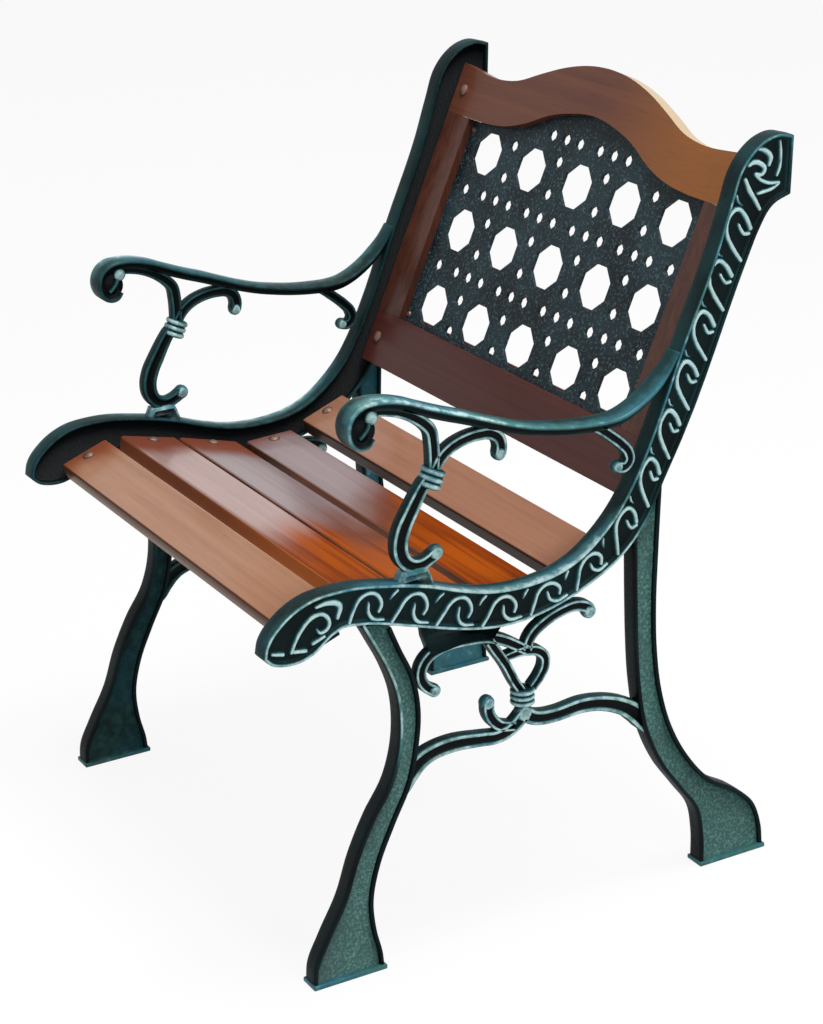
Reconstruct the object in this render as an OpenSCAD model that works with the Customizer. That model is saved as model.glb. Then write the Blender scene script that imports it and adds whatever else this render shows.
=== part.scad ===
// Single garden armchair: two cast iron ends, five hardwood seat slats and a
// hardwood back frame round a cast lattice panel. It faces -Y, its right-hand
// end is at +X, and z = 0 is the ground under the feet.

/* [Show] */

/* [Overall] */
// Clear width between the inner faces of the two cast ends
inner_w = 552; // [500:1:620]
// Gap left at each end of a board, between wood and casting
end_gap = 0.3; // [0.1:0.1:1]

/* [Cast ends] */
// Depth of a cast end, from its nose to the tip of its back
end_d = 603; // [560:1:650]
// Height of a cast end, from the ground to the tip of its back
end_h = 788; // [730:1:850]
// Thickness of the seat and back band
band_t = 22; // [18:1:28]
// Thickness of the legs
leg_t = 21; // [16:1:24]
// Width of the arm's top
arm_t = 28; // [22:1:34]
// Thickness of the scrolls, stem and stretcher
scroll_t = 12; // [9:0.5:16]
// Width of the raised rim along both edges of the band and legs
rim_w = 4; // [2.5:0.5:6]
// Depth of the sunk web behind the rims, on each face
sunk = 4.5; // [2:0.5:6]
// Pitch of the running wave along the band
wave_pitch = 47; // [40:1:55]
// Height of the sole under each foot
sole_h = 5; // [3:1:8]

/* [Seat slats] */
// Thickness of a seat slat
slat_t = 20; // [15:1:24]
// Radius along the edges of a slat
slat_edge = 3; // [1:0.5:5]
// Thickness of the cast lug under each slat end
lug_t = 4; // [3:0.5:6]
// Reach of a lug beyond the inner face of the casting
lug_reach = 26; // [20:1:34]
// Length of a lug along the slat's width
lug_l = 30; // [22:1:40]

/* [Back] */
// Lean of the back from upright, in degrees
lean = 24.2; // [15:0.1:30]
// Depth of the back frame's middle behind the band's front edge
back_inset = 27.6; // [24:0.1:32]
// Height of that middle above the band's point named back_point, up the slope
back_rise = 19.8; // [10:0.1:30]
// Thickness of the wooden back frame
frame_t = 18; // [15:1:24]
// Width of the two stiles
stile_w = 47; // [36:1:60]
// Depth of the rebate that takes the panel, from the frame's front
rebate_d = 13; // [9:1:15]
// Width of the ledge left behind the panel
rebate_w = 8; // [5:1:12]
// Thickness of the lattice panel
panel_t = 4; // [3:0.5:8]
// Reach of a back lug beyond the inner face of the casting
back_reach = 32; // [24:1:40]
// Width of a large eight-sided hole
big_w = 51.5; // [40:1:60]
// Height of a large eight-sided hole
big_h = 47.5; // [40:0.5:60]
// Width of a small hole
small_w = 14; // [8:0.5:18]
// Height of a small hole
small_h = 12; // [8:0.5:18]

/* [Fastenings] */
// Shank diameter of the bolts
bolt_d = 6; // [5:0.5:8]
// Clearance of a bolt in its hole, on the diameter
bolt_clear = 0.6; // [0.3:0.1:1]
// Diameter of the bolts' round heads
head_d = 13; // [11:0.5:16]
// Height of the round heads
head_h = 3.6; // [2.5:0.1:5]
// Shank diameter of the panel's screws
screw_d = 3.5; // [3:0.5:5]

/* [Hidden] */
$fn = 48;
half_w = inner_w / 2;
mid_x = half_w + band_t / 2;
board_l = inner_w - 2 * end_gap;
bolt_x = half_w - lug_reach / 2;
washer_d = head_d + 2;
washer_t = 1.2;
nut_d = bolt_d * 1.9;
nut_h = bolt_d * 0.8;
// The outlines below were taken off at this depth and height
drawn_d = 603;
drawn_h = 788;
deep = end_d / drawn_d;
tall = end_h / drawn_h;
// Points of an outline, or of a bar with its width, at the size asked for
function sized(p) = [for (q = p) concat([q[0] * deep, q[1] * tall], len(q) > 2 ? [q[2]] : [])];
iron = [0.14, 0.27, 0.26];
wood = [0.62, 0.30, 0.15];
dark_wood = [0.40, 0.20, 0.13];
steel = [0.55, 0.54, 0.52];
back_point = 17;
front = 10;
rear = front - frame_t;
stile_in = half_w - end_gap - stile_w;
seat_s = front - rebate_d;
joint = 0.2;
crest_s = 122.5 * tall;
rail_s = -121 * tall;
foot_s = -182 * tall;
crest_bolt_s = 151 * tall;
rail_bolt_s = -151 * tall;
back_bolt_x = half_w - 18;
back_lug_l = lug_l + 4;
// Height of the panel's screws, up and down from the middle of the back
screw_s = 112 * tall;
// Pitch of the large holes, both ways: five of them between the stiles
hole_pitch = 2 * stile_in / 5;
// Spacing of the crest rail's points across the back
crest_step = half_w / 6.9;
// Length of what a bolt holds together, at the seat and at the back
seat_stack = slat_t + joint + lug_t;
back_stack = frame_t + joint + lug_t;
// Running waves along the band: how many, and how far along it the first one starts
waves = 14;
wave_start = 54;
// Soles of the feet, front edge and rear edge
soles = [[-265 * deep, -182 * deep], [202.5 * deep, 288 * deep]];
// Collars as y, z, turn and length, and their radius
collars = [[-112 * deep, 508.7 * tall, -24, 20], [-12.3 * deep, 254.5 * tall, 0, 18]];
collar_r = 13;
// Middle and radius of the sunk disc inside the arm's scroll
eye = [-189.5 * deep, 572.5 * tall];
eye_r = 14;

// Upper edge of the band as y and z, from the nose up to the back's tip
band_top = sized([[-301.5, 368.5], [-299, 380.5], [-281, 402.5], [-254, 417], [-218, 421],
    [-159, 413], [-123, 404], [-82, 389.5], [-54, 382], [-28, 379], [0, 379.5],
    [25, 383.5], [50, 393.5], [73, 410], [95, 432.5], [115, 463], [131, 495],
    [170, 589], [210.5, 682], [225, 724], [239, 760], [251, 774], [266, 784],
    [284, 788], [301.5, 784]]);
// Lower and rear edge of the band, the same way along
band_low = sized([[-301.5, 368.5], [-293, 360.5], [-281, 356.5], [-263, 356.2], [-248, 361.5],
    [-227, 376.5], [-216, 380.5], [-200, 379.5], [-142, 364], [-91, 348.5],
    [-65, 342.5], [-40, 339.5], [-14, 340], [10, 343.5], [36, 350.5], [57, 358.5],
    [77, 368], [97, 380], [116, 397], [130, 414.5], [152, 456], [173, 495],
    [251, 673], [260.5, 693], [278, 717], [299, 725]]);
// Middle of the band as y, z and height, which the running wave follows
band_mid = sized([[-262, 383.7, 48], [-240, 395.5, 47], [-215.6, 401, 41], [-186, 397.8, 40.5],
    [-142, 386.5, 43], [-99.5, 373, 42.5], [-55, 361.5, 41], [-10.6, 359.6, 38],
    [18, 363.8, 36], [47, 373, 34.5], [74, 387.3, 36.7], [97.3, 405.8, 39],
    [116.2, 428.6, 38.5], [130.7, 454, 36.5], [159.3, 510.6, 38.8],
    [204, 618, 40.4], [239.5, 702, 47], [262, 738, 58]]);
// Front leg: its front edge, then its rear edge, from the band down
leg_f_front = sized([[-197, 378], [-185, 354.5], [-172.2, 328.6], [-161.2, 295], [-158.7, 266],
    [-161.2, 237], [-171.2, 204], [-193.1, 169.5], [-212.2, 131], [-227.2, 89.4], [-249, 49.6],
    [-262, 22], [-264, 0]]);
leg_f_rear = sized([[-166, 374], [-154, 344], [-141, 314], [-134.3, 275], [-137.8, 235],
    [-146.9, 197.5], [-166.9, 157.5], [-184.8, 117.6], [-193.4, 80], [-191, 45], [-185, 18],
    [-183.5, 0]]);
// Rear leg, the same way
leg_r_front = sized([[115, 398], [116, 330], [117, 290], [121, 232], [130, 183], [151, 135],
    [177, 98], [197, 69], [203.5, 36], [204, 0]]);
leg_r_rear = sized([[149, 452], [145.5, 380], [143.5, 320], [144.5, 278], [151.5, 222.3], [164.4, 178.6],
    [185.2, 138.8], [217, 101], [250, 80], [273, 58], [284, 28], [286.5, 0]]);
// Bars of the casting as y, z and width: the arm from its scroll to the back
arm_bar = sized([[-179.5, 565, 8], [-184.5, 559.3, 9], [-191.5, 558.3, 9], [-198, 562.5, 9.2],
    [-201.2, 570, 9.3], [-200.8, 579.5, 9.5], [-196, 588, 10.2], [-187.5, 593, 11.5],
    [-175, 594, 12.3], [-161.5, 592.7, 12.5], [-142, 587.6, 12.5], [-122.4, 579.5, 12.5],
    [-98, 569.9, 12.4], [-73.2, 561.1, 12.4], [-50, 551.9, 12.2], [-30, 544.6, 11.8],
    [-6.6, 537.3, 11.5], [15.7, 532.3, 11.7], [39.2, 528.2, 12], [65.6, 525.6, 12.6],
    [85, 524.9, 12.8], [101, 526.8, 12.4], [113.6, 531.3, 12], [124.5, 537, 11.5],
    [136.5, 545, 11], [149, 556, 10.3], [162, 570.5, 9.5]]);
stem_bar = sized([[-113, 520, 12], [-121, 506, 14], [-137.5, 479, 16.5], [-146, 463, 17.5],
    [-149.5, 450, 17.5], [-148.5, 438, 17], [-141.5, 427.5, 15.5], [-129.5, 423.5, 13.5],
    [-118.5, 427, 12.5], [-110, 432, 13]]);
front_branch = sized([[-114.5, 513, 12], [-113, 530, 14], [-113, 545, 14.5], [-114, 557.5, 13],
    [-120, 565.5, 12.5], [-127, 571, 12], [-139, 578.3, 11], [-149, 582.3, 10], [-160, 585, 9],
    [-171, 586.3, 8.5], [-180, 585, 8]]);
rear_branch = sized([[-112, 514, 11], [-100, 530, 12], [-89.5, 536.8, 12], [-77, 541, 12],
    [-61, 542.8, 12], [-47, 541.2, 12.5], [-38.5, 535, 13], [-35.8, 526, 13], [-37, 518, 13]]);
rear_curl = sized([[72, 524, 10], [81, 518.5, 11], [92, 510, 11.5], [103.5, 500, 11.5],
    [111.3, 490.5, 11.5], [112.8, 481.5, 11.5], [107, 475.5, 11.5], [99.5, 476.5, 12]]);
seat_curl = sized([[-115, 287, 12], [-125, 294.5, 12], [-130, 303, 12], [-130, 313, 12],
    [-122.5, 324.5, 12], [-110, 330.5, 12], [-74, 332.5, 12], [-55, 330, 12],
    [-38.5, 323.5, 12], [-9, 305, 11]]);
seat_branch = sized([[-9, 305, 11], [-6.5, 314, 11.5], [0, 322.5, 12], [9, 328.5, 12],
    [35, 338, 12], [47, 339.5, 12], [57, 337.5, 12.5], [64, 333.5, 12.5], [67, 327.5, 12.5]]);
heart_front = sized([[-16, 262, 10], [-23, 273.5, 10], [-33.5, 295, 10.5], [-47, 316.5, 11],
    [-52, 325, 11]]);
heart_rear = sized([[-3, 262, 10], [6.5, 272.5, 10.5], [12, 283, 11], [12, 292.5, 11],
    [5.5, 300, 11], [-10, 304.5, 11], [-34, 303, 8]]);
stretcher_front = sized([[-145, 206, 22], [-129, 218, 19], [-117, 222, 18], [-100, 224, 17.5],
    [-62, 220.5, 15.5], [-46, 218.5, 15], [-34, 220.5, 15.5], [-22, 227, 16], [-12, 236, 17]]);
stretcher_rear = sized([[-12, 236, 17], [-3, 229.5, 16], [9, 226, 16], [23, 225, 16],
    [57, 227, 17], [76, 224.5, 17], [92.5, 219.5, 18], [107, 212.5, 19], [121, 202, 22]]);
post_curl = sized([[-24, 225, 10], [-32, 227, 11], [-41, 230, 12], [-49, 237.5, 12.5],
    [-54, 247.5, 12.5], [-54.5, 257, 13]]);
// Round ends of the bars as y, z and radius
balls = sized([[-189.5, 572.5, 4], [-109.6, 432.2, 8], [-37, 518, 7], [99.5, 476.5, 6.6],
    [-115, 287, 7], [66, 328.5, 7.8], [-54.5, 258, 7.8], [-12.3, 236.5, 10]]);
// Upper face of each slat as front y, front z, rear y and rear z
slat_tops = [for (q = [[-264.5, 378, -210, 398], [-191, 398.2, -124.5, 382.8],
    [-119.5, 381.8, -47.5, 362.3], [-35.5, 360, 24, 362.6], [37.5, 371.5, 93, 393]])
    [q[0] * deep, q[1] * tall, q[2] * deep, q[3] * tall]];
// Upper edge of the crest rail from its middle out, as steps of crest_step across
// and height up the back
crest_top = [[0, 220.5], [1, 217.5], [2, 208.5], [3, 194.5], [4, 179.5], [5, 174.5], [6, 177],
    [board_l / 2 / crest_step, 181]];
// Lower arch of the crest rail, the same way
crest_low = [[0, 168], [1, 163.5], [2, 153.5], [3, 136.5], [4, 126], [5, 122.5]];

function unit(v) = v / norm(v);
function yz(p) = [p[0], p[1]];
// Heading of a curve at its point i, from the two chords that meet there
function heading(p, i) =
    i == 0 ? unit(yz(p[1]) - yz(p[0])) :
    i == len(p) - 1 ? unit(yz(p[i]) - yz(p[i - 1])) :
    let (a = yz(p[i]) - yz(p[i - 1]), b = yz(p[i + 1]) - yz(p[i]))
    unit(unit(a) * norm(b) + unit(b) * norm(a));
// Point at t of the smooth span from p[i] to p[i + 1], with its width
function span(p, i, t) =
    let (a = yz(p[i]), b = yz(p[i + 1]), l = norm(b - a), s = t * t * (3 - 2 * t),
        q = a * (1 - s) + b * s + heading(p, i) * l * (t * t * t - 2 * t * t + t)
            + heading(p, i + 1) * l * (t * t * t - t * t))
    len(p[i]) < 3 ? q : [q[0], q[1], p[i][2] * (1 - t) + p[i + 1][2] * t];
function curve(p, n) = [for (i = [0:len(p) - 2], k = [0:n - 1]) span(p, i, k / n), p[len(p) - 1]];
function backwards(p) = [for (i = [len(p) - 1:-1:0]) p[i]];
// One side of a bar, half its width off its middle line
function edge(c, s) = [for (i = [0:len(c) - 1]) let (h = heading(c, i))
    yz(c[i]) + s * c[i][2] / 2 * [-h[1], h[0]]];
function bar(p, n) = let (c = curve(p, n)) concat(edge(c, 1), backwards(edge(c, -1)));
function region(a, b, n) = concat(curve(a, n), backwards(curve(b, n)));
// Place on the band at distance d along it and fraction v of its sunk height
function walk(c, d, i = 0) = let (l = norm(yz(c[i + 1]) - yz(c[i])))
    d <= l || i == len(c) - 2 ? [i, d / l] : walk(c, d - l, i + 1);
function on_band(c, d, v) = let (w = walk(c, d), a = c[w[0]], b = c[w[0] + 1],
        h = unit(yz(b) - yz(a)), q = a + (b - a) * w[1])
    yz(q) + (v - 0.5) * (q[2] - 2 * rim_w) * [-h[1], h[0]];
// A crest line across the whole back, from its right half given in steps
function across(p) = [for (i = [1 - len(p):len(p) - 1]) let (q = p[abs(i)])
    [sign(i) * q[0] * crest_step, q[1] * tall]];

// Stands a y-z outline up and gives it thickness t along x, about x = 0
module plate(t) {
    rotate([90, 0, 90])
        linear_extrude(t, center = true)
            children();
}

// Fills sharp inner corners of an outline with a small radius
module fillet(r) {
    offset(r = -r, $fn = 16)
        offset(delta = r)
            children();
}

// Joins overlapping outlines into one
module joined() {
    offset(delta = 0.001)
        children();
}

module band_outline() {
    polygon(region(band_top, band_low, 3));
}

module band_inside(d) {
    offset(delta = -d)
        polygon(region(band_top, band_low, 3));
}

module legs_outline() {
    fillet(1)
        difference() {
            union() {
                polygon(region(leg_f_front, leg_f_rear, 3));
                polygon(region(leg_r_front, leg_r_rear, 3));
            }
            band_inside(rim_w / 2);
        }
}

module legs_inside() {
    difference() {
        offset(delta = -rim_w)
            union() {
                polygon(region(leg_f_front, leg_f_rear, 3));
                polygon(region(leg_r_front, leg_r_rear, 3));
            }
        offset(delta = rim_w / 4)
            polygon(region(band_top, band_low, 3));
        translate([-300, -5])
            square([700, 5 + sole_h + rim_w]);
    }
}

module arm_outline() {
    fillet(1.5)
        difference() {
            union() {
                polygon(bar(arm_bar, 3));
            }
            band_inside(rim_w / 2);
        }
}

module scroll_outline() {
    fillet(1.5)
        for (p = [stem_bar, front_branch, rear_branch, rear_curl, seat_curl, seat_branch,
                heart_front, heart_rear, stretcher_front, stretcher_rear, post_curl])
            polygon(bar(p, 3));
}

// Plate between the front curl under the seat and the band, and the pad under the stem
module gusset_outline() {
    polygon(sized([[-119, 326], [-126, 346], [-128, 364], [-60, 350], [-36, 343], [-48, 328], [-80, 331]]));
    polygon(sized([[-157, 408], [-152, 414], [-149, 421], [-121, 421], [-118, 414], [-113, 399]]));
}

// One running wave: the curl, the tongue under it and the spur between two waves
module wave(c, d) {
    for (r = [
            [[0, 0.02, 3.4], [0.12, 0.42, 3.6], [0.27, 0.78, 3.8], [0.53, 0.98, 4], [0.78, 0.86, 3.8],
                [0.84, 0.6, 3.4], [0.74, 0.4, 3.6]],
            [[0.42, 0.66, 2.6], [0.42, 0.26, 3.4], [0.6, 0.08, 3.6], [0.98, 0.1, 3]],
            [[1.05, 0.95, 3.4], [0.98, 0.7, 2.4]]])
        polygon(bar([for (q = r) concat(on_band(c, d + q[0] * wave_pitch, q[1]), [q[2]])], 2));
}

// Leaf veins in the nose and in the tip of the back
module leaves() {
    for (r = [
            [[-291, 374, 3], [-278, 383, 4], [-262, 397, 4], [-240, 405, 4], [-222, 404, 3]],
            [[-284, 370, 3], [-268, 374, 4], [-254, 383, 4], [-243, 393, 3]],
            [[-272, 366, 3], [-258, 369, 4], [-244, 381, 4], [-236, 394, 3]],
            [[238, 706, 4], [246, 732, 4], [258, 752, 4], [276, 768, 4], [294, 776, 3]],
            [[250, 702, 4], [259, 724, 4], [272, 743, 4], [292, 760, 3]],
            [[264, 712, 4], [274, 726, 4], [292, 738, 3]]])
        polygon(bar(sized(r), 3));
}

module band_relief() {
    c = curve(band_mid, 4);
    for (i = [0:waves - 1])
        wave(c, wave_start + i * wave_pitch);
    leaves();
}

module outer_pocket() {
    joined()
        difference() {
            band_inside(rim_w);
            band_relief();
        }
}

module ring_stack(r, l) {
    cylinder(h = l, r = r - 2, center = true);
    for (k = [-1:1])
        translate([0, 0, k * l / 3])
            rotate_extrude()
                translate([r - l / 6, 0])
                    circle(l / 6);
}

// Frame of slat i: origin in the middle of its upper face, y to the rear along it
module on_slat(i) {
    p = slat_tops[i];
    translate([0, (p[0] + p[2]) / 2, (p[1] + p[3]) / 2])
        rotate([atan2(p[3] - p[1], p[2] - p[0]), 0, 0])
            children();
}

// Frame of the back: x across, y up the slope, z out of the panel's middle to the front
module on_back() {
    at = band_top[back_point] + back_rise * [sin(lean), cos(lean)]
        + back_inset * [cos(lean), -sin(lean)];
    translate([0, at[0], at[1]])
        rotate([90 - lean, 0, 0])
            children();
}

module bolt_places(side) {
    for (i = [0:4])
        on_slat(i)
            translate([side * bolt_x, 0, 0])
                children();
}

module back_bolt_places(side) {
    for (s = [crest_bolt_s, rail_bolt_s])
        on_back()
            translate([side * back_bolt_x, s, 0])
                children();
}

module seat_lug(i) {
    root = band_t / 2;
    on_slat(i)
        difference() {
            union() {
                translate([half_w - lug_reach, -lug_l / 2, -slat_t - lug_t - joint])
                    cube([lug_reach + root, lug_l, lug_t]);
                translate([half_w, -lug_l / 2, -slat_t - lug_t - joint])
                    cube([root, lug_l, lug_t + slat_t / 2]);
            }
            translate([bolt_x, 0, -slat_t - 2 * lug_t])
                cylinder(h = 3 * lug_t, d = bolt_d + bolt_clear);
        }
}

module back_lug(s) {
    root = band_t / 2;
    on_back()
        difference() {
            translate([half_w - back_reach, s - back_lug_l / 2, rear - joint - lug_t])
                cube([back_reach + root, back_lug_l, lug_t]);
            translate([back_bolt_x, s, rear - 2 * lug_t])
                cylinder(h = 3 * lug_t, d = bolt_d + bolt_clear);
        }
}

// Cast end at +X: band, legs, arm and scrolls about its middle plane
module cast_end() {
    deep = sunk + 1;
    translate([mid_x, 0, 0]) {
        difference() {
            union() {
                plate(band_t)
                    band_outline();
                plate(leg_t)
                    legs_outline();
            }
            translate([band_t / 2 - sunk + deep / 2, 0, 0])
                plate(deep)
                    outer_pocket();
            translate([-band_t / 2 + sunk - deep / 2, 0, 0])
                plate(deep)
                    band_inside(rim_w);
            for (s = [-1, 1])
                translate([s * (leg_t / 2 - sunk + deep / 2), 0, 0])
                    plate(deep)
                        legs_inside();
        }
        plate(arm_t)
            arm_outline();
        plate(arm_t - 2 * sunk)
            translate([eye[0], eye[1]])
                circle(eye_r);
        plate(scroll_t)
            scroll_outline();
        plate(scroll_t + 2)
            gusset_outline();
        for (b = balls)
            translate([0, b[0], b[1]])
                sphere(b[2] + 1);
        for (q = collars)
            translate([0, q[0], q[1]])
                rotate([q[2], 0, 0])
                    ring_stack(collar_r, q[3]);
        for (f = soles)
            translate([-leg_t / 2 - 2, f[0], 0])
                cube([leg_t + 4, f[1] - f[0], sole_h]);
    }
    for (i = [0:4])
        seat_lug(i);
    back_lug(crest_bolt_s);
    back_lug(rail_bolt_s);
}

module left_end() {
    color(iron)
        mirror([1, 0, 0])
            cast_end();
}

module right_end() {
    color(iron)
        cast_end();
}

// Slat i: a board with rounded long edges and a bolt hole at each end
module slat(i) {
    p = slat_tops[i];
    w = norm([p[2] - p[0], p[3] - p[1]]);
    r = slat_edge;
    color(wood)
        on_slat(i)
            difference() {
                plate(board_l)
                    translate([0, -slat_t / 2])
                        offset(r = r)
                            square([w - 2 * r, slat_t - 2 * r], center = true);
                for (s = [-1, 1])
                    translate([s * bolt_x, 0, -slat_t - 1])
                        cylinder(h = slat_t + 2, d = bolt_d + bolt_clear);
            }
}

module seat_slat_1() {
    slat(0);
}

module seat_slat_2() {
    slat(1);
}

module seat_slat_3() {
    slat(2);
}

module seat_slat_4() {
    slat(3);
}

module seat_slat_5() {
    slat(4);
}

module slab(z0, z1) {
    translate([0, 0, z0])
        linear_extrude(z1 - z0)
            children();
}

// Holes for the four panel screws, through the ledge behind the panel
module screw_places() {
    for (sx = [-1, 1], s = [-1, 1])
        on_back()
            translate([sx * (stile_in - rebate_w / 2), s * screw_s, 0])
                children();
}

module screw_holes(d) {
    screw_places()
        translate([0, 0, rear - 1])
            cylinder(h = frame_t, d = d);
}

module right_stile_shape() {
    difference() {
        on_back() {
            translate([stile_in, rail_s + joint, rear])
                cube([stile_w, crest_s - rail_s - 2 * joint, frame_t]);
            translate([stile_in - rebate_w, rail_s + joint, rear])
                cube([rebate_w + 1, crest_s - rail_s - 2 * joint, seat_s - rear]);
        }
        screw_holes(screw_d);
    }
}

module left_back_stile() {
    color(dark_wood)
        mirror([1, 0, 0])
            right_stile_shape();
}

module right_back_stile() {
    color(dark_wood)
        right_stile_shape();
}

module back_bolt_holes() {
    for (side = [-1, 1])
        back_bolt_places(side)
            translate([0, 0, rear - 1])
                cylinder(h = frame_t + 2, d = bolt_d + bolt_clear);
}

module back_bottom_rail() {
    in_x = stile_in - rebate_w - joint;
    color(dark_wood)
        difference() {
            on_back() {
                translate([-board_l / 2, foot_s, rear])
                    cube([board_l, rail_s - foot_s, frame_t]);
                translate([-in_x, rail_s - 1, rear])
                    cube([2 * in_x, rebate_w + 1, seat_s - rear]);
            }
            back_bolt_holes();
        }
}

// Lower edge of the crest rail across the whole back, lowered by d
function crest_arch(d) = [for (q = curve(across(crest_low), 4)) [q[0], q[1] - d]];

module crest_outline() {
    e = board_l / 2;
    polygon(concat(curve(across(crest_top), 4), [[e, crest_s]],
        backwards(crest_arch(0)), [[-e, crest_s]]));
}

module crest_ledge() {
    in_x = stile_in - rebate_w - joint;
    polygon(concat([[-in_x, crest_s - rebate_w], [-in_x, crest_s + 2]], crest_arch(-2),
        [[in_x, crest_s + 2], [in_x, crest_s - rebate_w]], backwards(crest_arch(rebate_w))));
}

module back_crest_rail() {
    color(dark_wood)
        difference() {
            on_back() {
                slab(rear, front)
                    crest_outline();
                slab(rear, seat_s)
                    crest_ledge();
            }
            back_bolt_holes();
        }
}

// An eight-sided hole w wide and h high, flats to the sides
module oct(w, h) {
    k = cos(22.5);
    polygon([for (a = [22.5:45:360]) [w / 2 / k * cos(a), h / 2 / k * sin(a)]]);
}

// Lattice of the panel: 15 large holes, single small holes between them in each
// row, and rows of three small holes at each crossing
module lattice_holes() {
    p = hole_pitch;
    near_s = p * 0.203;
    near_x = p * 0.291;
    edge_x = p * 2.21;
    top_s = p * 1.48;
    for (r = [-1:1], c = [-2:2])
        translate([c * p, r * p])
            oct(big_w, big_h);
    for (r = [-1:1], c = [-1.5:1.5], k = [-1, 1])
        translate([c * p, r * p + k * near_s])
            oct(small_w, small_h);
    for (r = [-0.5, 0.5], c = [-1.5:1.5], k = [-1:1])
        translate([c * p + k * near_x, r * p])
            oct(small_w, small_h);
    for (r = [-0.5, 0.5], k = [-1, 1])
        translate([k * edge_x, r * p])
            oct(small_w, small_h);
    for (c = [-0.5, 0.5], k = [-1:1])
        translate([c * p + k * near_x, top_s])
            oct(small_w, small_h);
}

module panel_outline() {
    e = stile_in - joint;
    polygon(concat([[-e, rail_s + joint], [-e, crest_s - joint]], crest_arch(joint),
        [[e, crest_s - joint], [e, rail_s + joint]]));
}

module back_panel() {
    color(iron)
        difference() {
            on_back()
                slab(seat_s, seat_s + panel_t)
                    joined()
                        difference() {
                            panel_outline();
                            lattice_holes();
                        }
            screw_holes(screw_d + 0.4);
        }
}

// Round-headed bolt hanging from z = 0, its shank l long
module bolt(l) {
    flat_h = head_h * 0.3;
    crown_h = head_h - flat_h;
    crown_r = (head_d * head_d / 4 + crown_h * crown_h) / (2 * crown_h);
    intersection() {
        cylinder(h = head_h + 1, d = head_d);
        translate([0, 0, head_h - crown_r])
            sphere(crown_r);
    }
    translate([0, 0, -l])
        cylinder(h = l + 0.1, d = bolt_d);
}

module washer() {
    difference() {
        cylinder(h = washer_t, d = washer_d);
        translate([0, 0, -1])
            cylinder(h = washer_t + 2, d = bolt_d + bolt_clear);
    }
}

module nut() {
    difference() {
        cylinder(h = nut_h, d = nut_d, $fn = 6);
        translate([0, 0, -1])
            cylinder(h = nut_h + 2, d = bolt_d);
    }
}

// A shank's length past the stack it holds: washer, nut and two millimetres of end
function shank(stack) = stack + washer_t + nut_h + 2;

module seat_bolts(side) {
    color(steel)
        bolt_places(side)
            bolt(shank(seat_stack));
}

module seat_washers(side) {
    color(steel)
        bolt_places(side)
            translate([0, 0, -seat_stack - washer_t])
                washer();
}

module seat_nuts(side) {
    color(steel)
        bolt_places(side)
            translate([0, 0, -seat_stack - washer_t - nut_h])
                nut();
}

module back_bolts(side) {
    color(steel)
        back_bolt_places(side)
            translate([0, 0, front])
                bolt(shank(back_stack));
}

module back_washers(side) {
    color(steel)
        back_bolt_places(side)
            translate([0, 0, front - back_stack - washer_t])
                washer();
}

module back_nuts(side) {
    color(steel)
        back_bolt_places(side)
            translate([0, 0, front - back_stack - washer_t - nut_h])
                nut();
}

module left_seat_bolts() {
    seat_bolts(-1);
}

module right_seat_bolts() {
    seat_bolts(1);
}

module left_seat_washers() {
    seat_washers(-1);
}

module right_seat_washers() {
    seat_washers(1);
}

module left_seat_nuts() {
    seat_nuts(-1);
}

module right_seat_nuts() {
    seat_nuts(1);
}

module left_back_bolts() {
    back_bolts(-1);
}

module right_back_bolts() {
    back_bolts(1);
}

module left_back_washers() {
    back_washers(-1);
}

module right_back_washers() {
    back_washers(1);
}

module left_back_nuts() {
    back_nuts(-1);
}

module right_back_nuts() {
    back_nuts(1);
}

module panel_screws() {
    color(steel)
        screw_places() {
            translate([0, 0, rear])
                cylinder(h = seat_s + panel_t - rear, d = screw_d);
            translate([0, 0, seat_s + panel_t])
                cylinder(h = 1.6, d1 = screw_d * 2, d2 = screw_d * 1.4);
        }
}

left_end();
right_end();
seat_slat_1();
seat_slat_2();
seat_slat_3();
seat_slat_4();
seat_slat_5();
left_back_stile();
right_back_stile();
back_bottom_rail();
back_crest_rail();
back_panel();
left_seat_bolts();
right_seat_bolts();
left_seat_washers();
right_seat_washers();
left_seat_nuts();
right_seat_nuts();
left_back_bolts();
right_back_bolts();
left_back_washers();
right_back_washers();
left_back_nuts();
right_back_nuts();
panel_screws();
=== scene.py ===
import math

import bmesh
import bpy
import numpy as np
from mathutils import Matrix, Vector
from mathutils.geometry import tessellate_polygon


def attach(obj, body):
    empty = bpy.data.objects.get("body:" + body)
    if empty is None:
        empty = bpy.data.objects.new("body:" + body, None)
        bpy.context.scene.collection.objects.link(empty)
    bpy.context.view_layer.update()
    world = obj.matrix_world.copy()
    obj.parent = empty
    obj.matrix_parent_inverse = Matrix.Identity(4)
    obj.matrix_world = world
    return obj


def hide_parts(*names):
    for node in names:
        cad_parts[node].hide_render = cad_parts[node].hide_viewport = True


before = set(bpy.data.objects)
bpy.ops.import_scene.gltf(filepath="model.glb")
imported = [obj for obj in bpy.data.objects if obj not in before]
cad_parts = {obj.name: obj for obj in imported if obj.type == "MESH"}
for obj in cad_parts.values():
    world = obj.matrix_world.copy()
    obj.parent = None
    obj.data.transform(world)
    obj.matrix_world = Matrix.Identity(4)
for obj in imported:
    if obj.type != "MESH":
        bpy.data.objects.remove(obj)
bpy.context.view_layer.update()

MM = 0.001
MID = 287.0                     # middle plane of each casting, from the chair's own
LEAN = math.radians(24.2)       # of the back, from upright
BACK_Y, BACK_Z = 203.3, 595.7   # middle of the back frame
STEPS = 6                       # steps of an outline or bar from one of its points to the next
ORNAMENT_STEPS = 4              # the same in the ornament
LATHE_STEPS = 24                # steps round a turned form

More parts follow.
